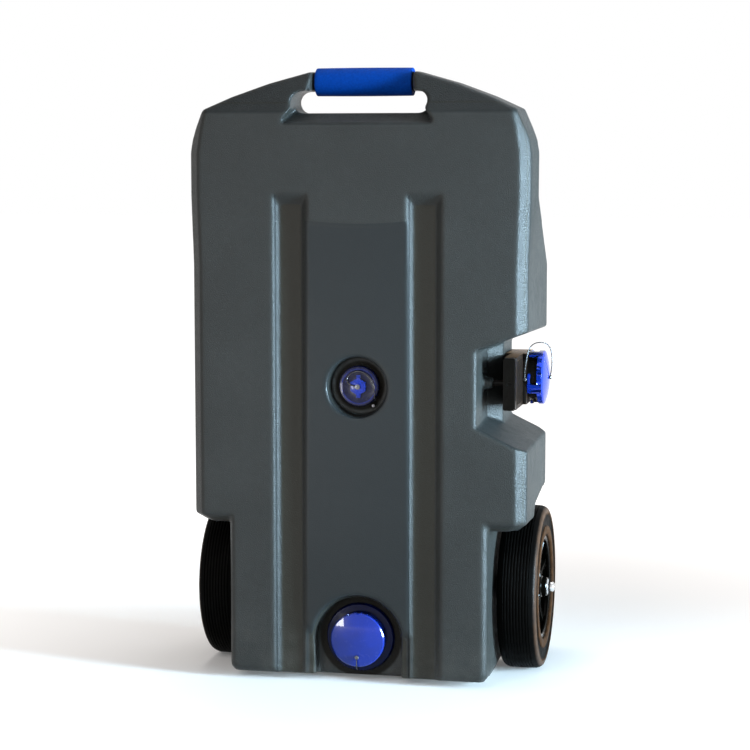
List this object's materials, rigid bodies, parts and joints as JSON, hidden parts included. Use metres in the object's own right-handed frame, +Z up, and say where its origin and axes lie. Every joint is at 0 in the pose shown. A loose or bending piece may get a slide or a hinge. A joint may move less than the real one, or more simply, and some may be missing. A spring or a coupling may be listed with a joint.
{
  "type": "portable waste water tank",
  "caption": "Upright moulded holding tank on two wheels, with a top grip, a slide-gate drain with a twist-off cap, a twist-off inlet cap and a vent cap on wire tethers.",
  "frame": {"origin": "on the ground, at the middle of the part's overall width and depth", "axes": "+Z up, +X along the wheel axle towards the side with the drain valve, -Y out of the face with the inlet and vent caps"},
  "size_m": [0.714, 0.389, 1.1913],
  "materials": {
    "body": "matte, fine moulded texture",
    "grip": "matte soft sleeve",
    "cap": "glossy",
    "fitting": "satin",
    "pull": "satin",
    "rubber": "matte",
    "tyre": "matte",
    "rim": "satin",
    "wire": "bare stranded wire",
    "steel": "satin",
    "chrome": "polished"
  },
  "bodies": {
    "tank": {"tank_shell": "body", "handle_grip": "grip", "inlet_neck": "fitting", "inlet_gasket": "rubber", "inlet_locknut": "fitting", "vent_tether": "wire", "vent_anchor_screw": "steel", "drain_gasket": "rubber", "drain_flange": "fitting", "drain_locknut": "fitting", "gate_housing_inner": "fitting", "gate_housing_outer": "fitting", "gate_seal_inner": "rubber", "gate_seal_outer": "rubber", "gate_gland_seal": "rubber", "hose_neck": "fitting", "valve_bolts": "steel", "valve_stay": "fitting", "drain_tether": "wire", "drain_anchor_screw": "steel", "axle": "steel", "thrust_washers": "fitting", "outer_washers": "steel", "hub_nut_left": "chrome", "hub_nut_right": "chrome"},
    "inlet_cap": {"inlet_cap": "cap", "inlet_cap_seal": "rubber", "inlet_cap_pin": "steel", "inlet_tether": "wire"},
    "vent_cap": {"vent_cap": "cap", "vent_cap_seal": "rubber", "vent_cap_screw": "steel"},
    "gate": {"gate_blade": "steel", "gate_rod": "steel", "gate_pull": "pull", "gate_pull_screw": "steel"},
    "drain_cap": {"drain_cap": "cap", "drain_cap_seal": "rubber", "drain_cap_pin": "steel"},
    "wheel_left": {"tyre_left": "tyre", "rim_left": "rim", "bush_left": "steel"},
    "wheel_right": {"tyre_right": "tyre", "rim_right": "rim", "bush_right": "steel"}
  },
  "joints": [
    {"name": "wheel_left_spin", "type": "hinge", "parent": "tank", "child": "wheel_left", "pos_m": [-0.301, 0.0315, 0.163], "axis": [1, 0, 0], "continuous": true},
    {"name": "wheel_right_spin", "type": "hinge", "parent": "tank", "child": "wheel_right", "pos_m": [0.301, 0.0315, 0.163], "axis": [1, 0, 0], "continuous": true},
    {"name": "gate_slide", "type": "slide", "parent": "tank", "child": "gate", "axis": [0, -1, 0], "range_m": [0, 0.077]},
    {"name": "drain_cap_twist", "type": "hinge", "parent": "tank", "child": "drain_cap", "pos_m": [0.33, 0.0175, 0.587], "axis": [1, 0, 0], "range_deg": [0, 30]},
    {"name": "inlet_cap_twist", "type": "hinge", "parent": "tank", "child": "inlet_cap", "pos_m": [0, -0.1845, 0.086], "axis": [0, -1, 0], "range_deg": [0, 30]},
    {"name": "vent_cap_turn", "type": "hinge", "parent": "tank", "child": "vent_cap", "pos_m": [0, -0.1695, 0.581], "axis": [0, -1, 0], "range_deg": [0, 90]}
  ]
}
